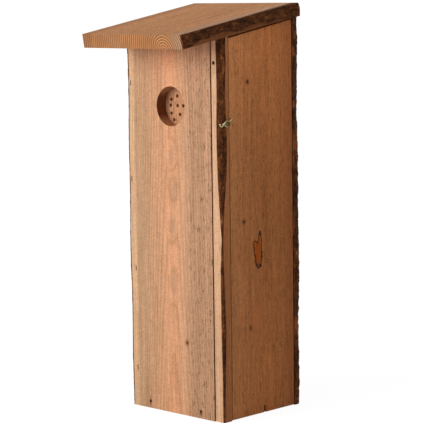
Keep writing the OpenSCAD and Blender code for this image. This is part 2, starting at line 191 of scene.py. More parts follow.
def grain_space(tree, here, grain, pith, wobble):
    """Three things: the place measured from the pith with the grain upright; the same place
    stretched to the trunk's slow bends; and the sideways shift, wobble times noise less a half."""
    turned = add(tree, "Mapping", {0: here, "Rotation": GRAIN[grain][0]}).outputs[0]
    to_pith = (-pith[0], -pith[1], 0.0)
    placed = add(tree, "VectorMath", {0: turned, 1: to_pith}, operation="ADD").outputs[0]
    slow = add(tree, "Mapping", {0: placed, "Scale": BENDS_PER_METRE}).outputs[0]
    bend = add(tree, "TexNoise", {"Vector": slow, "Scale": 1.0, "Detail": 2.5, "Roughness": 0.5})
    shift = add(tree, "VectorMath", {0: bend.outputs["Color"], 1: (-0.5, -0.5, -0.5)}, operation="ADD")
    shift = add(tree, "VectorMath", {0: shift.outputs[0], 1: (wobble, wobble, 0.0)}, operation="MULTIPLY")
    return placed, slow, shift.outputs[0]


print("the grain may run", ", ".join(GRAIN))

# %% [markdown]
# ## Knots and annual rings
# A knot is a branch that the trunk grew round, so the rings swerve past it. Each mark is worked out
# before the rings, and pushes them outwards. A ring is pale earlywood that fades into a narrow dark
# band of latewood and ends sharply at the next spring, which a sawtooth through a ramp gives.

# %% Marks and rings
LATEWOOD = [(0.0, "#303030"), (0.12, "#000000"), (0.45, "#202020"), (0.84, "#ffffff"), (0.95, "#d0d0d0"),
            (1.0, "#303030")]


def distance_to(tree, here, mark):
    """Distance to a mark, 1 on its rim: the least over its oval spots, plus ragged times 4 mm noise."""
    nearest = None
    for a, z, w, h in mark["spots"]:
        on_side = mark["face"] == "side"
        centre = (0.0, a, z) if on_side else (a, 0.0, z)
        per_half = (0.0, 1 / w, 1 / h) if on_side else (1 / w, 0.0, 1 / h)
        off = add(tree, "VectorMath", {0: here, 1: centre}, operation="SUBTRACT").outputs[0]
        off = add(tree, "VectorMath", {0: off, 1: per_half}, operation="MULTIPLY").outputs[0]
        far = add(tree, "VectorMath", {0: off}, operation="LENGTH").outputs["Value"]
        if nearest is not None:
            far = add(tree, "Math", {0: nearest, 1: far}, operation="MINIMUM").outputs[0]
        nearest = far
    rag = add(tree, "TexNoise", {"Vector": here, "Scale": 1 / (4 * MM), "Detail": 2.0}).outputs[0]
    rag = add(tree, "Math", {0: rag, 1: -0.5}, operation="ADD").outputs[0]
    return add(tree, "Math", {0: rag, 1: mark["ragged"], 2: nearest}, operation="MULTIPLY_ADD").outputs[0]


def annual_rings(tree, placed, slow, shift, masks, ring, taper):
    """Share of latewood, 0 to 1. The radius is the distance from the pith plus taper times height
    plus each mark's push; its fraction of a ring goes through the ramp, times an uneven strength."""
    bent = add(tree, "VectorMath", {0: placed, 1: shift}, operation="ADD").outputs[0]
    flat = add(tree, "VectorMath", {0: bent, 1: (1.0, 1.0, 0.0)}, operation="MULTIPLY").outputs[0]
    radius = add(tree, "VectorMath", {0: flat}, operation="LENGTH").outputs["Value"]
    # The trunk tapers, so rings cut along its length close into tall arches.
    along = add(tree, "SeparateXYZ", {0: bent}).outputs[2]
    radius = add(tree, "Math", {0: along, 1: taper, 2: radius}, operation="MULTIPLY_ADD").outputs[0]
    for far, mark in masks:
        push = add(tree, "MapRange", {0: far, 1: 0.0, 2: 4.0, 3: mark["push"], 4: 0.0},
                   interpolation_type="SMOOTHERSTEP").outputs[0]
        radius = add(tree, "Math", {0: radius, 1: push}, operation="ADD").outputs[0]
    turns = add(tree, "Math", {0: radius, 1: ring}, operation="DIVIDE").outputs[0]
    part = add(tree, "Math", {0: turns}, operation="FRACT").outputs[0]
    band = add(tree, "ValToRGB", {0: part}, stops=LATEWOOD).outputs[0]
    uneven = add(tree, "TexNoise", {"Vector": slow, "Scale": 3.0, "Detail": 2.0}).outputs[0]
    strength = add(tree, "MapRange", {0: uneven, 1: 0.3, 2: 0.7, 3: 0.35, 4: 1.0}).outputs[0]
    return add(tree, "Math", {0: band, 1: strength}, operation="MULTIPLY").outputs[0]


print("a ring's ramp has", len(LATEWOOD), "stops")

# %% [markdown]
# ## What the saw leaves
# A band saw tears softwood: long fibres stand out, short flecks are pulled from the surface, and a
# fine fuzz covers it, furrier in some cloudy patches. All are noise, stretched along the grain by as
# much as each is longer than wide. Real fibres, flecks and fuzz are under a millimetre wide, so they
# are drawn wider, to show at this distance.

# %% Fibres, flecks and fuzz
# Width drawn in mm, scale along the grain, detail and roughness of the noise.
SAWN = {
    "fibres": (1.2, 0.025, 3.0, 0.6),
    "streaks": (5.5, 0.025, 2.0, 0.5),
    "torn": (2.6, 0.2, 3.0, 0.7),
    "fuzz": (2.8, 1.3, 3.0, 0.75),
    "clouds": (9.0, 1.3, 2.0, 0.5),
}


def saw_marks(tree, placed):
    """Each layer of SAWN as noise from 0 to 1, in a dictionary. The torn layer is cut to flecks."""
    layers = {}
    for layer, (wide, along, detail, roughness) in SAWN.items():
        squeezed = add(tree, "Mapping", {0: placed, "Scale": (1.0, 1.0, along)}).outputs[0]
        layers[layer] = add(tree, "TexNoise", {"Vector": squeezed, "Scale": 1 / (wide * MM), "Detail": detail,
                                               "Roughness": roughness}).outputs[0]
    layers["flecks"] = add(tree, "MapRange", {0: layers["torn"], 1: 0.54, 2: 0.68, 3: 0.0, 4: 1.0},
                           interpolation_type="SMOOTHSTEP").outputs[0]
    return layers


print("the saw leaves", ", ".join(SAWN))

# %% [markdown]
# ## Colour of a knot, and of end grain
# A mark has a heart, a thin dark rim and a halo that stains the wood round it. End grain drinks more
# oil and dirt than a face, so it is darker and warmer, and its rings stand out more.

# %% Paint marks and end grain
END_GRAIN_TINT = (1.0, 0.95, 0.84)


def paint_marks(tree, here, colour, masks):
    """Lays each mark on the colour: its halo first, then its heart, which is kept to the places
    beyond a plane where the mark says so, as for the wall of a bore."""
    for far, mark in masks:
        heart = add(tree, "MapRange", {0: far, 1: 0.85, 2: 1.02, 3: mark["faint"], 4: 0.0}).outputs[0]
        if "beyond" in mark:
            axis, place, compare = mark["beyond"]
            deep = add(tree, "SeparateXYZ", {0: here}).outputs[axis]
            deep = add(tree, "Math", {0: deep, 1: place}, operation=compare).outputs[0]
            heart = add(tree, "Math", {0: heart, 1: deep}, operation="MULTIPLY").outputs[0]
        halo = add(tree, "MapRange", {0: far, 1: 1.0, 2: mark["halo"], 3: mark["shade"], 4: 0.0},
                   interpolation_type="SMOOTHSTEP").outputs[0]
        stain = linear(mark["rim"])
        colour = add(tree, "Mix", {0: halo, 6: colour, 7: stain}, data_type="RGBA").outputs[2]
        inner = add(tree, "ValToRGB", {0: far}, stops=[(0.0, mark["heart"]), (0.58, mark["heart"]),
                                                       (0.8, mark["rim"])]).outputs[0]
        colour = add(tree, "Mix", {0: heart, 6: colour, 7: inner}, data_type="RGBA").outputs[2]
    return colour


def paint_end(tree, colour, tone, band, grain, end_tone, end_late):
    """Where the face looks along the grain, takes the plain tone times end_tone, less and more
    end_late of it with the rings."""
    normal = add(tree, "TexCoord").outputs["Normal"]
    facing = add(tree, "VectorMath", {0: normal, 1: GRAIN[grain][1]}, operation="DOT_PRODUCT")
    facing = add(tree, "Math", {0: facing.outputs["Value"]}, operation="ABSOLUTE").outputs[0]
    cut = add(tree, "MapRange", {0: facing, 1: 0.6, 2: 0.85, 3: 0.0, 4: 1.0}).outputs[0]
    rings = add(tree, "MapRange", {0: band, 1: 0.0, 2: 1.0, 3: end_tone * (1 - end_late),
                                   4: end_tone * (1 + end_late)}).outputs[0]
    end = add(tree, "VectorMath", {0: tone, "Scale": rings}, operation="SCALE").outputs[0]
    end = add(tree, "VectorMath", {0: end, 1: END_GRAIN_TINT}, operation="MULTIPLY").outputs[0]
    return add(tree, "Mix", {0: cut, 6: colour, 7: end}, data_type="RGBA").outputs[2]


print("marks and end grain ready")

# %% [markdown]
# ## Sawn larch
# Now the layers come together. The broad tone across the board comes first, and every other layer
# makes it lighter or darker by its own share, so that a change of tone never loses the figure.

# %% The larch material
# Brightness up a board is written as a grey and doubled, so that this grey leaves it as it is.
# A ramp that is lighter at the top is painted light under the eave, where the roof's shadow falls.
EVEN = "#bcbcbc"
RAMP_HEIGHT = 500


def larch(name, grain, across, width, tones, pith, ring=3.2 * MM, late=0.16, fibre=0.16, fleck=0.25,
          wobble=9 * MM, marks=(), rough=None, upward=((0, EVEN), (RAMP_HEIGHT, EVEN)), side=None,
          taper=0.02, end_tone=0.85, end_late=0.3):
    """Sawn larch. tones are (mm from the low edge, hex) across the board; pith is the place of the
    pith in the two directions square to the grain; marks are knots, pockets and shaded bores on one
    face; rough says where the saw tore it; upward is brightness by mm of height, painted light that
    lifts a board under the eave, where the roof's shadow falls; side is a tint for the face towards the
    door, painted shade on that shaded face. late, fibre and fleck are shares by which those layers
    darken it."""
    material, tree, shader = finish(name, IOR=1.5)
    shader.inputs["Specular IOR Level"].default_value = 0.25
    here = add(tree, "TexCoord").outputs["Object"]
    placed, slow, shift = grain_space(tree, here, grain, pith, wobble)
    masks = [(distance_to(tree, here, mark), mark) for mark in marks]
    band = annual_rings(tree, placed, slow, shift, masks, ring, taper)
    sawn = saw_marks(tree, placed)

    # The broad tones run with the grain and wander a little sideways.
    wander = add(tree, "VectorMath", {0: here, 1: shift}, operation="ADD").outputs[0]
    sideways = add(tree, "SeparateXYZ", {0: wander}).outputs["XYZ".index(across)]
    low, high = width
    share = add(tree, "MapRange", {0: sideways, 1: low, 2: high, 3: 0.0, 4: 1.0}).outputs[0]
    span_mm = (high - low) / MM
    tone = add(tree, "ValToRGB", {0: share}, stops=[(mm / span_mm, c) for mm, c in tones]).outputs[0]
    flecks = sawn["flecks"]
    if rough:
        patch = add(tree, "ValToRGB", {0: share}, stops=[(mm / span_mm, c) for mm, c in rough]).outputs[0]
        flecks = add(tree, "Math", {0: flecks, 1: patch}, operation="MULTIPLY").outputs[0]

    # Each layer: its socket, the values it runs between, and the shares it gives at those two.
    layers = [
        (band, 0.0, 1.0, 1.0 + late * 0.35, 1.0 - late),
        (sawn["fibres"], 0.25, 0.75, 1.0 - fibre, 1.0 + fibre),
        (sawn["fuzz"], 0.25, 0.75, 1.0 - fibre * 1.3, 1.0 + fibre * 1.3),
        (sawn["streaks"], 0.3, 0.7, 1.0 - fibre * 0.5, 1.0 + fibre * 0.5),
        (flecks, 0.0, 1.0, 1.0, 1.0 - fleck),
        (sawn["clouds"], 0.3, 0.7, 1.0 - fibre * 0.32, 1.0 + fibre * 0.32),
    ]
    # Painted light: the greys of upward lighten a board under the eave, where the roof's shadow falls.
    height = add(tree, "SeparateXYZ", {0: here}).outputs[2]
    height = add(tree, "MapRange", {0: height, 1: 0.0, 2: RAMP_HEIGHT * MM, 3: 0.0, 4: 1.0}).outputs[0]
    greys = [(z / RAMP_HEIGHT, grey) for z, grey in upward]
    light_by_height = add(tree, "ValToRGB", {0: height}, stops=greys).outputs[0]
    dark = add(tree, "Math", {0: light_by_height, 1: 2.0}, operation="MULTIPLY").outputs[0]
    for value, least, most, at_least, at_most in layers:
        part = add(tree, "MapRange", {0: value, 1: least, 2: most, 3: at_least, 4: at_most}).outputs[0]
        dark = add(tree, "Math", {0: dark, 1: part}, operation="MULTIPLY").outputs[0]
    colour = add(tree, "VectorMath", {0: tone, "Scale": dark}, operation="SCALE").outputs[0]
    # Dark layers turn redder: blue falls faster than red.
    warm = add(tree, "MapRange", {0: dark, 1: 0.6, 2: 1.1, 3: 0.86, 4: 1.02}).outputs[0]
    warm = add(tree, "CombineXYZ", {0: 1.0, 1: 1.0, 2: warm}).outputs[0]
    colour = add(tree, "VectorMath", {0: colour, 1: warm}, operation="MULTIPLY").outputs[0]

    # Painted shade: the face that looks towards the door, away from the lamp, takes the side tint and is
    # darker than the lit faces.
    if side:
        square = add(tree, "TexCoord").outputs["Normal"]
        square = add(tree, "SeparateXYZ", {0: square}).outputs[0]
        square = add(tree, "MapRange", {0: square, 1: 0.6, 2: 0.9, 3: 0.0, 4: 1.0}).outputs[0]
        tinted = add(tree, "VectorMath", {0: colour, 1: linear(side)[:3]}, operation="MULTIPLY").outputs[0]
        colour = add(tree, "Mix", {0: square, 6: colour, 7: tinted}, data_type="RGBA").outputs[2]
    colour = paint_marks(tree, here, colour, masks)
    colour = paint_end(tree, colour, tone, band, grain, end_tone, end_late)
    tree.links.new(colour, shader.inputs["Base Color"])

    # Torn fibres are matt; latewood and the smoother patches have a faint sheen.
    matt = add(tree, "Math", {0: flecks, 1: 0.5, 2: sawn["fibres"]}, operation="MULTIPLY_ADD").outputs[0]
    matt = add(tree, "MapRange", {0: matt, 1: 0.2, 2: 1.1, 3: 0.7, 4: 0.95}).outputs[0]
    tree.links.new(matt, shader.inputs["Roughness"])

    # Relief: soft earlywood wears low, latewood stands proud, flecks are pits and the fibres fray.
    relief = sawn["fibres"]
    for value, weight in ((band, 0.25), (flecks, -0.7), (sawn["fuzz"], 0.5)):
        relief = add(tree, "Math", {0: value, 1: weight, 2: relief}, operation="MULTIPLY_ADD").outputs[0]
    relief = add(tree, "Bump", {"Height": relief, "Strength": 0.55, "Distance": 0.5 * MM}).outputs[0]
    tree.links.new(relief, shader.inputs["Normal"])
    return material


print("larch material ready")

# %% [markdown]
# ## Knots, pockets and bores
# Every mark starts as a pin knot, the small dark end of a dead twig, and changes what differs. A
# resin pocket is a ragged blister of amber pitch with a dark lip. The wall of a bore is end grain on
# two sides, so it is browner than the face, and its colour also holds painted shade, the shade that
# falls inside the bore.

# %% Kinds of mark
def span(node, axis):
    """The places of a CAD piece's low and high face on one axis, in metres."""
    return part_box(node)[0][axis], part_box(node)[1][axis]


left, front_y, door_front = span("front_panel", 0)[0], span("front_panel", 1)[0], span("side_door", 1)[0]
PIN_KNOT = {"heart": "#40200f", "rim": "#7c4827", "shade": 0.6, "halo": 2.8, "ragged": 0.6, "push": 3 * MM,
            "faint": 1.0}
# Painted shade: a bore's wall takes this darker, warmer colour for the shade inside the bore, on end grain
# that is browner too.
SHADED_BORE = {"heart": "#b5681f", "rim": "#96541b", "shade": 0.0, "push": 0.0, "ragged": 0.05}
EYE = {"heart": "#b98f70", "rim": "#b58a6b", "shade": 0.35, "push": 4 * MM, "faint": 0.5}
POCKET = {"heart": "#b3570f", "rim": "#2c1003", "shade": 0.0, "push": 2 * MM, "ragged": 0.75}
BLUSH = {"heart": "#cc7a42", "rim": "#c47442", "halo": 2.0, "shade": 0.5, "ragged": 1.2, "faint": 0.6}
# The bores' walls begin 0.3 mm behind the face, along the front and along the door.
BEHIND_FRONT = (1, front_y + 0.3 * MM, "GREATER_THAN")
BEHIND_DOOR = (0, span("side_door", 0)[1] - 0.3 * MM, "LESS_THAN")


def mark(face, *spots, **more):
    """A mark made of oval spots (place, height up, half width, half height in mm). On the front the
    place is counted from the panel's left edge, and on the side from the front face backwards."""
    start = left if face == "front" else front_y
    placed = [(start + a * MM, z * MM, w * MM, h * MM) for a, z, w, h in spots]
    return {**PIN_KNOT, "face": face, "spots": placed, **more}


print("front face at", round(front_y / MM, 1), "mm")

# %% [markdown]
# ## The boards' own wood
# Each board was cut from another place in the trunk, so each gets its own pith, tones and knots. The
# front is flat-sawn: pale sapwood at the left, orange heartwood in the middle where the rings arch,
# and a rough greyish band at the right. The door is redder heartwood with a resin pocket; part of
# its deeper orange is painted shade, the warm tone of the shaded side it stands on.

# %% Wood for the front and the door
# Flat-sawn larch off the band saw: pale sapwood and orange heartwood, matt and a little furry.
front_wood = larch(
    "sawn larch, front board", "up", "X", span("front_panel", 0),
    tones=[(0, "#d9ad86"), (12, "#d4a780"), (15, "#bc926f"), (32, "#bc906d"), (42, "#c89671"),
           (62, "#cc9671"), (72, "#d59a72"), (84, "#d39870"), (96, "#ce9a75"), (108, "#c49370"),
           (113, "#b98c6c"), (149, "#bc8e6d")],
    pith=(left + 80 * MM, front_y + 34 * MM), ring=3.4 * MM, late=0.2, fibre=0.19, fleck=0.6, taper=0.035,
    rough=[(0, "#303030"), (14, "#484848"), (40, "#484848"), (100, "#505050"), (112, "#e0e0e0"),
           (149, "#ffffff")],
    # upward is painted light: lighter under the eave, where the roof's shadow falls, and darker towards the
    # bottom. side is painted shade on the right sawn edge, which looks into the shaded gap by the corner
    # strip.
    upward=((0, "#b0b0b0"), (110, "#b6b6b6"), (250, EVEN), (430, "#bebebe"), (476, "#d0d0d0")),
    side="#7c6656",
    marks=[mark("front", (102.6, 94, 1.9, 2.3)),
           mark("front", (34.3, 9.6, 1.4, 2.4), (124.8, 7, 1.4, 2.2), shade=0.5),
           mark("front", (34.3, 4, 0.6, 4), shade=0.0, push=0.0),
           mark("front", (79.5, 391, 26, 26), beyond=BEHIND_FRONT, **SHADED_BORE),
           mark("front", (80, 328, 3.5, 9), (81, 284, 3.5, 10), (79, 240, 3.5, 9), (80, 168, 3, 10), **EYE)])
# Redder larch heartwood, sawn nearer the pith, with pin knots and one open resin pocket. Part of
# its deeper, more saturated orange is painted shade: the warm tone of the side in shade.
door_wood = larch(
    "sawn larch, door", "up", "Y", span("side_door", 1),
    tones=[(0, "#c88450"), (18, "#c77e49"), (40, "#c17944"), (62, "#be743f"), (84, "#c0763f"),
           (100, "#b46d3c"), (114, "#aa6334")],
    pith=(span("side_door", 0)[0] - 55 * MM, door_front + 62 * MM), ring=2.7 * MM, late=0.09, fibre=0.2,
    # upward is painted light: lighter at the top under the eave, where the roof's shadow falls.
    fleck=0.35, upward=((0, EVEN), (230, "#b6b6b6"), (340, EVEN), (450, "#d2d2d2")),
    marks=[mark("side", (50, 421.5, 1.9, 2.3)), mark("side", (40.9, 248, 1.9, 2.3)),
           mark("side", (51.6, 113.3, 1.9, 2.3)),
           mark("side", (67, 204, 7.4, 20), (69.8, 220, 3.8, 14), (61, 217, 4.2, 7), (64, 210, 6.4, 11),
                **POCKET),
           mark("side", (62, 124, 7, 15), **BLUSH),
           mark("side", (75.8, 0, 2.2, 12), beyond=BEHIND_DOOR, **SHADED_BORE)])
print("front and door:", front_wood.name, "and", door_wood.name)

# %% Wood for the roof and the corner strip
# Larch cut off square at the eaves, where the end grain shows its rings as arches. Its pith lay at
# the level of the board's underside, 50 mm to the right of the box's middle.
FRONT_H = 476.0
UNDERSIDE = front_y * math.sin(SLOPE) - FRONT_H * MM * math.cos(SLOPE)
roof_wood = larch(
    "sawn larch, roof board", "slope", "X", span("roof_board", 0),
    tones=[(0, "#c0845a"), (14, "#c2865a"), (16, "#d09264"), (80, "#d09263"), (120, "#cc8e60"),
           (157, "#cd9265"), (160, "#c69878"), (172, "#c49878"), (174, "#8e552d"), (183, "#8a4f28")],
    pith=(0.050, UNDERSIDE), ring=3.4 * MM, late=0.12, fibre=0.2, fleck=0.3, taper=0.01, wobble=5 * MM,
    end_tone=0.99, end_late=0.5)
# A square stick of pale, clean larch, with a faint stain at its left edge where a brad passes.
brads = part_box("strip_brads")
strip_wood = larch(
    "sawn larch, corner strip", "up", "X", span("corner_strip", 0),
    tones=[(0, "#d8aa85"), (8, "#dbac88"), (15, "#d4a47e")],
    pith=(span("corner_strip", 0)[0] - 70 * MM, front_y + 60 * MM), late=0.12, fibre=0.12, fleck=0.2,
    # upward is painted light: lighter under the eave, where the roof's shadow falls, and darker towards the
    # bottom. side is painted shade, darker and warmer, on the strip's face beside the door.
    upward=((0, "#b0b0b0"), (110, "#b2b2b2"), (250, EVEN), (400, "#bebebe"), (476, "#cccccc")),
    side="#e0b890",
    marks=[mark("front", ((brads[0][0] + brads[1][0]) / 2 / MM - left / MM, brads[1][2] / MM - 1.3,
                          2, 3.4))])
print("roof and strip:", roof_wood.name, "and", strip_wood.name)

# %% Wood for the hidden boards
# Plain larch boards with a coarser figure, matt all over.
back_wood = larch(
    "sawn larch, back board", "up", "X", span("back_panel", 0),
    tones=[(0, "#c8936b"), (30, "#c28a62"), (80, "#c0865c"), (120, "#c68e64"), (164, "#ca9870")],
    pith=(0.01, 0.06), late=0.18, fibre=0.18, fleck=0.45)
left_wood = larch(
    "sawn larch, left board", "up", "Y", span("left_side_panel", 1),
    tones=[(0, "#c8936b"), (40, "#c28a62"), (80, "#c0885e"), (117, "#c8946c")],
    pith=(-0.12, 0.02), late=0.18, fibre=0.18, fleck=0.45)
# The floor is the same larch with its grain from side to side.
floor_wood = larch(
    "sawn larch, floor board", "across", "Y", span("floor_board", 1),
    tones=[(0, "#cc9a72"), (60, "#c8926a"), (117, "#cf9d76")],
    pith=(0.06, 0.03), late=0.16, fibre=0.14, fleck=0.4)
# Sawn spruce, softer than larch, which a bird can hollow out: pale and matt, without figure. Its
# tones are held a little low, partly painted shade from the entrance recess it lies at the back of.
blank_wood = larch(
    "sawn spruce, entrance blank", "up", "X", span("entrance_blank", 0),
    tones=[(0, "#c78f6a"), (40, "#ca936c"), (74, "#c48966")],
    pith=(0.04, 0.05), ring=2.4 * MM, late=0.16, fibre=0.12, fleck=0.5)
print("eight kinds of board in all")

# %% [markdown]
# ## Bark
# Larch bark is a stack of thin scales: nearly black in its furrows, purplish brown on the flakes and
# rust-red where a scale has just come off. Colour follows the same noise as the relief, so that the
# low places are the dark ones and the high scales the pale ones: partly the bark's own colour, partly
# painted shade in the furrows and a painted highlight on the high scales.

# %% The bark material
def larch_bark(name, flow, peel=0.0):
    """Scaly bark. Its scales are longer along the trunk, so flow squeezes the pattern on that axis.
    peel is the share of it that has come off down to the rust-red inner bark."""
    material, tree, shader = finish(name)
    shader.inputs["Specular IOR Level"].default_value = 0.2
    here = add(tree, "TexCoord").outputs["Object"]
    here = add(tree, "Mapping", {0: here, "Scale": flow}).outputs[0]
    scales = add(tree, "TexVoronoi", {"Vector": here, "Scale": 1 / (4.5 * MM), "Randomness": 1.0},
                 feature="DISTANCE_TO_EDGE").outputs["Distance"]
    cloud = add(tree, "TexNoise", {"Vector": here, "Scale": 1 / (6 * MM), "Detail": 5.0,
                                   "Roughness": 0.7}).outputs[0]
    grit = add(tree, "TexNoise", {"Vector": here, "Scale": 1 / (1.7 * MM), "Detail": 3.0,
                                  "Roughness": 0.7}).outputs[0]
    mixed = add(tree, "Math", {0: grit, 1: 0.6, 2: cloud}, operation="MULTIPLY_ADD").outputs[0]
    mixed = add(tree, "MapRange", {0: mixed, 1: 0.57, 2: 1.04, 3: 0.0, 4: 1.0}).outputs[0]
    # The ramp runs from the low places to the high scales: the bark's own colour, with painted shade at its
    # dark end and a painted highlight at its pale end.
    colour = add(tree, "ValToRGB", {0: mixed}, stops=[(0.0, "#231006"), (0.3, "#46240d"), (0.55, "#633516"),
                                                     (0.8, "#7f4921"), (1.0, "#b07844")]).outputs[0]
    if peel:
        bare = add(tree, "TexNoise", {"Vector": here, "Scale": 1 / (16 * MM), "Detail": 4.0,
                                      "Roughness": 0.6}).outputs[0]
        least = 0.62 - peel * 0.2
        bare = add(tree, "MapRange", {0: bare, 1: least, 2: least + 0.04, 3: 0.0, 4: 1.0}).outputs[0]
        colour = add(tree, "Mix", {0: bare, 6: colour, 7: linear("#9a562b")}, data_type="RGBA").outputs[2]
    tree.links.new(colour, shader.inputs["Base Color"])
    matt = add(tree, "MapRange", {0: mixed, 1: 0.0, 2: 1.0, 3: 0.97, 4: 0.78}).outputs[0]
    tree.links.new(matt, shader.inputs["Roughness"])
    furrow = add(tree, "MapRange", {0: scales, 1: 0.0, 2: 0.25, 3: 0.0, 4: 1.0}).outputs[0]
    height = add(tree, "Math", {0: furrow, 1: 0.5, 2: mixed}, operation="MULTIPLY_ADD").outputs[0]
    relief = add(tree, "Bump", {"Height": height, "Strength": 0.8, "Distance": 0.9 * MM}).outputs[0]
    tree.links.new(relief, shader.inputs["Normal"])
    return material


# Weathered larch bark is dry and matt, dark in its furrows and rusty on its high scales; that dark
# and pale are partly painted shade and painted highlight.
UP_THE_BOARD, ALONG_THE_ROOF = (1.0, 1.0, 0.4), (1.0, 0.4, 1.0)
dark_bark = larch_bark("larch bark", UP_THE_BOARD)
roof_bark = larch_bark("larch bark, roof edge", ALONG_THE_ROOF)
# The same bark where part of it has flaked off.
peeling_bark = larch_bark("peeling larch bark", UP_THE_BOARD, peel=0.35)
print("bark ready")

# %% [markdown]
# ## Metal
# The nails and staples are bright steel wire that has begun to brown, and the latch is zinc plated
# steel with a yellow passivation. Plating is even, so only its tint wanders; bare wire is blotchy.

# %% Steel and zinc
def wire_metal(name, low, high, grain, rough_low, rough_high):
    """Drawn wire: its tint and roughness wander together over patches grain metres across."""
    material, tree, shader = finish(name, Metallic=1.0)
    here = add(tree, "TexCoord").outputs["Object"]
    patch = add(tree, "TexNoise", {"Vector": here, "Scale": 1 / grain, "Detail": 3.0,
                                   "Roughness": 0.6}).outputs[0]
    colour = add(tree, "ValToRGB", {0: patch}, stops=[(0.3, low), (0.7, high)]).outputs[0]
    tree.links.new(colour, shader.inputs["Base Color"])
    rough = add(tree, "MapRange", {0: patch, 1: 0.3, 2: 0.7, 3: rough_high, 4: rough_low}).outputs[0]
    tree.links.new(rough, shader.inputs["Roughness"])
    relief = add(tree, "Bump", {"Height": patch, "Strength": 0.25, "Distance": 0.1 * MM}).outputs[0]
    tree.links.new(relief, shader.inputs["Normal"])
    return material


# Drawn steel nails, browned by the weather: dull, with a few brighter spots.
nail_steel = wire_metal("browned nail steel", "#2e1b11", "#5f4636", 1.2 * MM, 0.5, 0.8)
# Hook wire, zinc plated and yellow passivated: smooth, pale gold and fairly glossy.
yellow_zinc = wire_metal("yellow passivated zinc", "#e8d690", "#f2e8bc", 2.5 * MM, 0.22, 0.4)
# The screw's head had the same plating, now dull from the screwdriver and the rain.
worn_zinc = wire_metal("worn zinc screw head", "#4e3f2a", "#9c8e62", 1.5 * MM, 0.4, 0.65)
print("metals ready")

# %% [markdown]
# ## From rings to a closed skin
# Every new piece here is a profile carried along a path: one closed ring of points at each step. The
# function joins neighbouring rings with quads and closes both ends, so the skin is watertight. The
# whole grid of points is one array, with no loop over points.

# %% Carry a profile along a path
def carried(name, rings, material, body, slot, *stands_for):
    """A closed skin through rings (steps, points, xyz in metres): quad j, i joins points i and i + 1
    of ring j to the same two of ring j + 1; the first and last rings are closed with one face."""
    steps, points, _ = rings.shape
    j, i = np.meshgrid(np.arange(steps - 1), np.arange(points), indexing="ij")
    after = (i + 1) % points
    quads = np.stack([j * points + i, j * points + after, (j + 1) * points + after, (j + 1) * points + i], -1)
    faces = quads.reshape(-1, 4).tolist()
    faces.append(list(range(points))[::-1])
    faces.append(list(range((steps - 1) * points, steps * points)))
    mesh = bpy.data.meshes.new(name)
    mesh.from_pydata(rings.reshape(-1, 3).tolist(), [], faces)
    # A ring may run either way round; the volume's sign tells whether the faces point inwards.
    a, b, c, d = (rings.reshape(-1, 3)[quads[..., k]] for k in range(4))
    volume = np.sum(np.cross(b - a, c - a) * (a - rings.mean((0, 1)))) + np.sum(
        np.cross(c - a, d - a) * (a - rings.mean((0, 1))))
    if volume < 0:
        mesh.flip_normals()
    mesh.materials.append(material)
    piece = bpy.data.objects.new(name, mesh)
    scene.collection.objects.link(piece)
    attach(piece, body)
    if stands_for:
        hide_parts(*stands_for)
    print(name, "has", steps, "rings of", points)
    return piece


def wave(u, start):
    """Slow waviness between -1 and 1: the mean of two sines, 500 and 1310 degrees along u."""
    return (np.sin(np.radians(start + u * 500)) + np.sin(np.radians(start * 2.3 + u * 1310))) / 2


def bumps(u, v, across_u, across_v, seed):
    """Smooth random bumps from 0 to 1: random heights on a grid of across_u by across_v cells, eased
    between its corners with 3t^2 - 2t^3."""
    heights = np.random.default_rng(seed).random((across_u + 2, across_v + 2))
    gu, gv = u * across_u, v * across_v
    iu, iv = np.floor(gu).astype(int), np.floor(gv).astype(int)
    tu, tv = gu - iu, gv - iv
    tu, tv = tu * tu * (3 - 2 * tu), tv * tv * (3 - 2 * tv)
    low = heights[iu, iv] * (1 - tu) + heights[iu + 1, iv] * tu
    high = heights[iu, iv + 1] * (1 - tu) + heights[iu + 1, iv + 1] * tu
    return low * (1 - tv) + high * tv


def crust(u, v, length, width, seed):
    """Height of bark, near -1 to 1: the sum of plates 14 mm long, flakes of 6 mm and grit of 2 mm;
    the furrows between plates are sharp because their bumps are folded at mid height."""
    plates = bumps(u, v, max(2, round(length / 14)), max(1, round(width / 6)), seed)
    flakes = bumps(u, v, max(2, round(length / 6)), max(2, round(width / 3)), seed + 1)
    grit = bumps(u, v, max(2, round(length / 2)), max(2, round(width / 1.5)), seed + 2)
    return np.abs(2 * plates - 1) - 0.5 + (flakes - 0.5) + (grit - 0.5)


print("helpers ready")

# %% [markdown]
# ## Bark on the upright edges
# A waney edge is where the round of the trunk shows. In plan the bark runs from a line on one face of
# the board to a line on the next, bulging a little between them, and the board is cut away behind it
# to the bark's thickness. The lines wander up the board as the trunk did.

# %% Bark that runs up a board
def faces_mm(node, axis):
    """The places of a CAD piece's low and high face on one axis, in mm."""
    return [round(float(place) / MM, 1) for place in span(node, axis)]


LEFT_X, FRONT_Y = faces_mm("front_panel", 0)[0], faces_mm("front_panel", 1)[0]
RIGHT_X = faces_mm("side_door", 0)[1]
INNER_BACK_Y, BACK_Y = faces_mm("back_panel", 1)
STRIP_X, STRIP_Y = faces_mm("corner_strip", 0)[0], faces_mm("corner_strip", 1)[0]


def under(y):
    """Height of the roof board's underside at depth y, in mm."""
    return FRONT_H + (y - FRONT_Y) * math.tan(SLOPE)


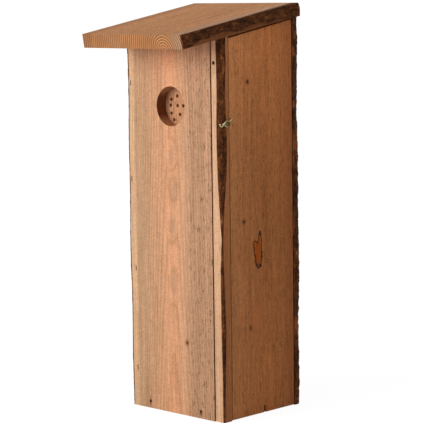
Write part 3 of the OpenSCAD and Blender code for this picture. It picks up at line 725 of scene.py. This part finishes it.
def upright_bark(name, first, last, face_a, face_b, thick, bulge, rough, top, material, seed, keep=None):
    """Bark between two wandering lines. first and last give the lines' plan places in mm at each
    share of the height; face_a and face_b are the square directions of the faces they lie on. The
    outer side is the straight line between them plus bulge * 4t(1 - t) and the crust, outwards; the
    inner side is the same line moved in by the bark's thickness until it meets the two faces. top
    gives the height that the bark stops at for each depth, and keep may hold points back in plan."""
    steps, across = 230, 22
    u = np.linspace(0, 1, steps)
    full = under(BACK_Y)
    z = u * full
    a, b = first(u), last(u)
    way = (b - a) / np.linalg.norm(b - a, axis=1)[:, None]
    out = np.stack([way[:, 1], -way[:, 0]], 1)
    a_in = a - thick * out + way * (thick * (out @ face_a) / (way @ face_a))[:, None]
    b_in = b - thick * out + way * (thick * (out @ face_b) / (way @ face_b))[:, None]
    t = np.linspace(0, 1, across)
    U, T = np.meshgrid(u, t, indexing="ij")
    width = float(np.linalg.norm(b - a, axis=1).mean())
    fade = np.clip(6 * np.minimum(T, 1 - T), 0.25, 1)
    lift = bulge * 4 * T * (1 - T) + rough * crust(U, T, full, width, seed) * fade
    outer = a[:, None] + (b - a)[:, None] * T[..., None] + out[:, None] * lift[..., None]
    s = np.linspace(0, 1, 5)[None, :, None]
    inner = b_in[:, None] * (1 - s) + a_in[:, None] * s
    ring = np.concatenate([outer, inner], 1)
    if keep is not None:
        ring = keep(ring)
    rings = np.dstack([ring, np.broadcast_to(z[:, None], ring.shape[:2])])
    # Each point of the top ring is cut to the slope of the roof, and the ends are cut square.
    rings[..., 2] = np.clip(rings[..., 2], 0.0, top(rings[..., 1]))
    up_to = np.searchsorted(z, top(ring[..., 1]).max()) + 1
    return carried(name + "_crust", rings[:up_to] * MM, material, "frame", "bark", name)


x_face, y_face = np.array([1.0, 0.0]), np.array([0.0, 1.0])
# Share of the height, then the strip's pale width on the front and the bark's depth on its side, mm.
FACE = np.array([[0, 14], [0.08, 13.7], [0.15, 13.4], [0.23, 12.5], [0.3, 12.7], [0.38, 12.7], [0.46, 14.7],
                 [0.54, 11.5], [0.61, 9.3], [0.69, 8.3], [0.77, 8.7], [0.81, 9.4], [0.89, 8.9], [1, 8]])
SIDE = np.array([[0, 0.8], [0.08, 1.6], [0.15, 2.8], [0.23, 3.9], [0.3, 3], [0.38, 1.6], [0.46, 0.6],
                 [0.54, 3.8], [0.61, 7.9], [0.69, 9.6], [0.77, 8.2], [0.81, 7], [0.89, 8.8], [1, 8.2]])
plan = lambda x, y: np.stack(np.broadcast_arrays(x, y), 1).astype(float)
# The bark stops just short of the roof, or square at the back board's inner face.
to_roof = lambda y: under(y) - 0.2
square_top = lambda y: 0 * y + under(INNER_BACK_Y)
# The back board's bark keeps out of the box, and the strip's bark is at most 0.2 mm past its side.
behind = lambda r: np.stack([r[..., 0], np.maximum(r[..., 1], INNER_BACK_Y + 0.1)], -1)
beside = lambda r: np.stack([np.minimum(r[..., 0], RIGHT_X + 0.2), r[..., 1]], -1)

upright_bark("corner_bark",
             lambda u: plan(STRIP_X + np.interp(u, *FACE.T), STRIP_Y + 0 * u),
             lambda u: plan(RIGHT_X + 0 * u, STRIP_Y + np.interp(u, *SIDE.T)),
             y_face, x_face, 0.7, 0.5, 0.5, to_roof, dark_bark, 11, keep=beside)
upright_bark("front_bark",
             lambda u: plan(LEFT_X + 0 * u, FRONT_Y + 5.5 + 0 * u),
             lambda u: plan(LEFT_X + 2.6 + wave(u, 40), FRONT_Y + 0 * u),
             x_face, y_face, 1.4, 0.7, 0.6, to_roof, dark_bark, 21)
upright_bark("back_bark_right",
             lambda u: plan(RIGHT_X + 0 * u, INNER_BACK_Y + 1.0 + 0 * u),
             lambda u: plan(RIGHT_X - 9 - 2.5 * wave(u, 70), BACK_Y + 0 * u),
             x_face, y_face, 1.8, 4.0, 0.9, square_top, peeling_bark, 31, keep=behind)
upright_bark("back_bark_left",
             lambda u: plan(LEFT_X + 3.2 + 1.2 * wave(u, 200), BACK_Y + 0 * u),
             lambda u: plan(LEFT_X + 0 * u, INNER_BACK_Y + 1.0 + 0 * u),
             y_face, x_face, 1.8, 3.6, 0.9, square_top, dark_bark, 41, keep=behind)

# %% [markdown]
# ## Bark on the roof
# The roof board's right edge is waney too. Its bark hangs from the sawn top edge, thin at the front
# and thicker towards the back, and its lower part has flaked away along the middle, down to the
# rust-coloured wood.

# %% Bark along the roof's edge
steps, across = 150, 20
u = np.linspace(0, 1, steps)
t = np.linspace(0, 1, across)
U, T = np.meshgrid(u, t, indexing="ij")
# The wood's edge, the board's thickness and the bark's widest reach; where the board starts, counted
# along the slope from above the front face, and its length. All in mm.
edge, thickness, reach_max = 80.5, 17.4, 12.0
start, length = -64.56, 203.0
wood = reach_max * (0.12 + 0.45 * u + 0.05 * np.sin(np.radians(u * 900)))
reach = reach_max * (0.25 + 0.75 * u * u)
middle = np.clip(np.minimum(u / 0.12, (1 - u) / 0.14) - 0.4, 0, 1)
ragged = bumps(u, 0 * u, 17, 1, 51) - 0.5 + (bumps(u, 0 * u, 75, 1, 52) - 0.5) * 0.8
low = thickness * (0.03 + middle * (0.3 + 0.22 * ragged))
high = thickness + 0 * u
# Down the outer side the reach swells to its widest at mid height; the crust is laid on it.
drop = high[:, None] * (1 - T) + low[:, None] * T
swell = np.interp(drop / thickness, [0, 0.1, 0.5, 0.9, 1.0], [0.86, 0.92, 1.0, 0.95, 0.85])
x_out = edge + reach[:, None] * swell + 0.7 * crust(U, T, 200, 17, 53) * np.clip(8 * T, 0.1, 1)
x_out = np.maximum(x_out, edge + wood[:, None] * (1 - drop / thickness) + 0.5)
s = np.linspace(0, 1, 5)[None, :]
z_in = low[:, None] * (1 - s) + high[:, None] * s
x_in = edge - 0.3 + wood[:, None] * (1 - z_in / thickness)
x, z = np.concatenate([x_out, x_in], 1), np.concatenate([drop, z_in], 1)
y = start + np.broadcast_to(u[:, None] * length, x.shape)
rings = np.stack([x, FRONT_Y + y * math.cos(SLOPE) - z * math.sin(SLOPE),
                  FRONT_H + y * math.sin(SLOPE) + z * math.cos(SLOPE)], -1)
carried("roof_bark_crust", rings * MM, roof_bark, "frame", "bark", "roof_bark_strip")

# %% [markdown]
# ## The CAD pieces that stay
# The boards, nails, screw and hook already have the right shape, with their bores, so they stay as
# the CAD made them. Each only gets its finish, in the slots it already has.

# %% Finish the CAD pieces
FINISHES = {
    "front_panel": front_wood, "left_side_panel": left_wood, "back_panel": back_wood,
    "floor_board": floor_wood, "roof_board": roof_wood, "corner_strip": strip_wood,
    "entrance_blank": blank_wood, "side_door": door_wood,
    "hook_screw": worn_zinc, "turn_hook": yellow_zinc,
    "front_pivot_nail": nail_steel, "rear_pivot_nail": nail_steel, "front_staples": nail_steel,
    "front_floor_nails": nail_steel, "strip_brads": nail_steel, "blank_brads": nail_steel,
    "left_floor_nails": nail_steel, "back_side_nails": nail_steel, "back_floor_nails": nail_steel,
    "roof_brads": nail_steel,
}
for node, material in FINISHES.items():
    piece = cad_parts[node]
    for place in piece.material_slots:
        place.material = material
print("finished", len(FINISHES), "CAD pieces")
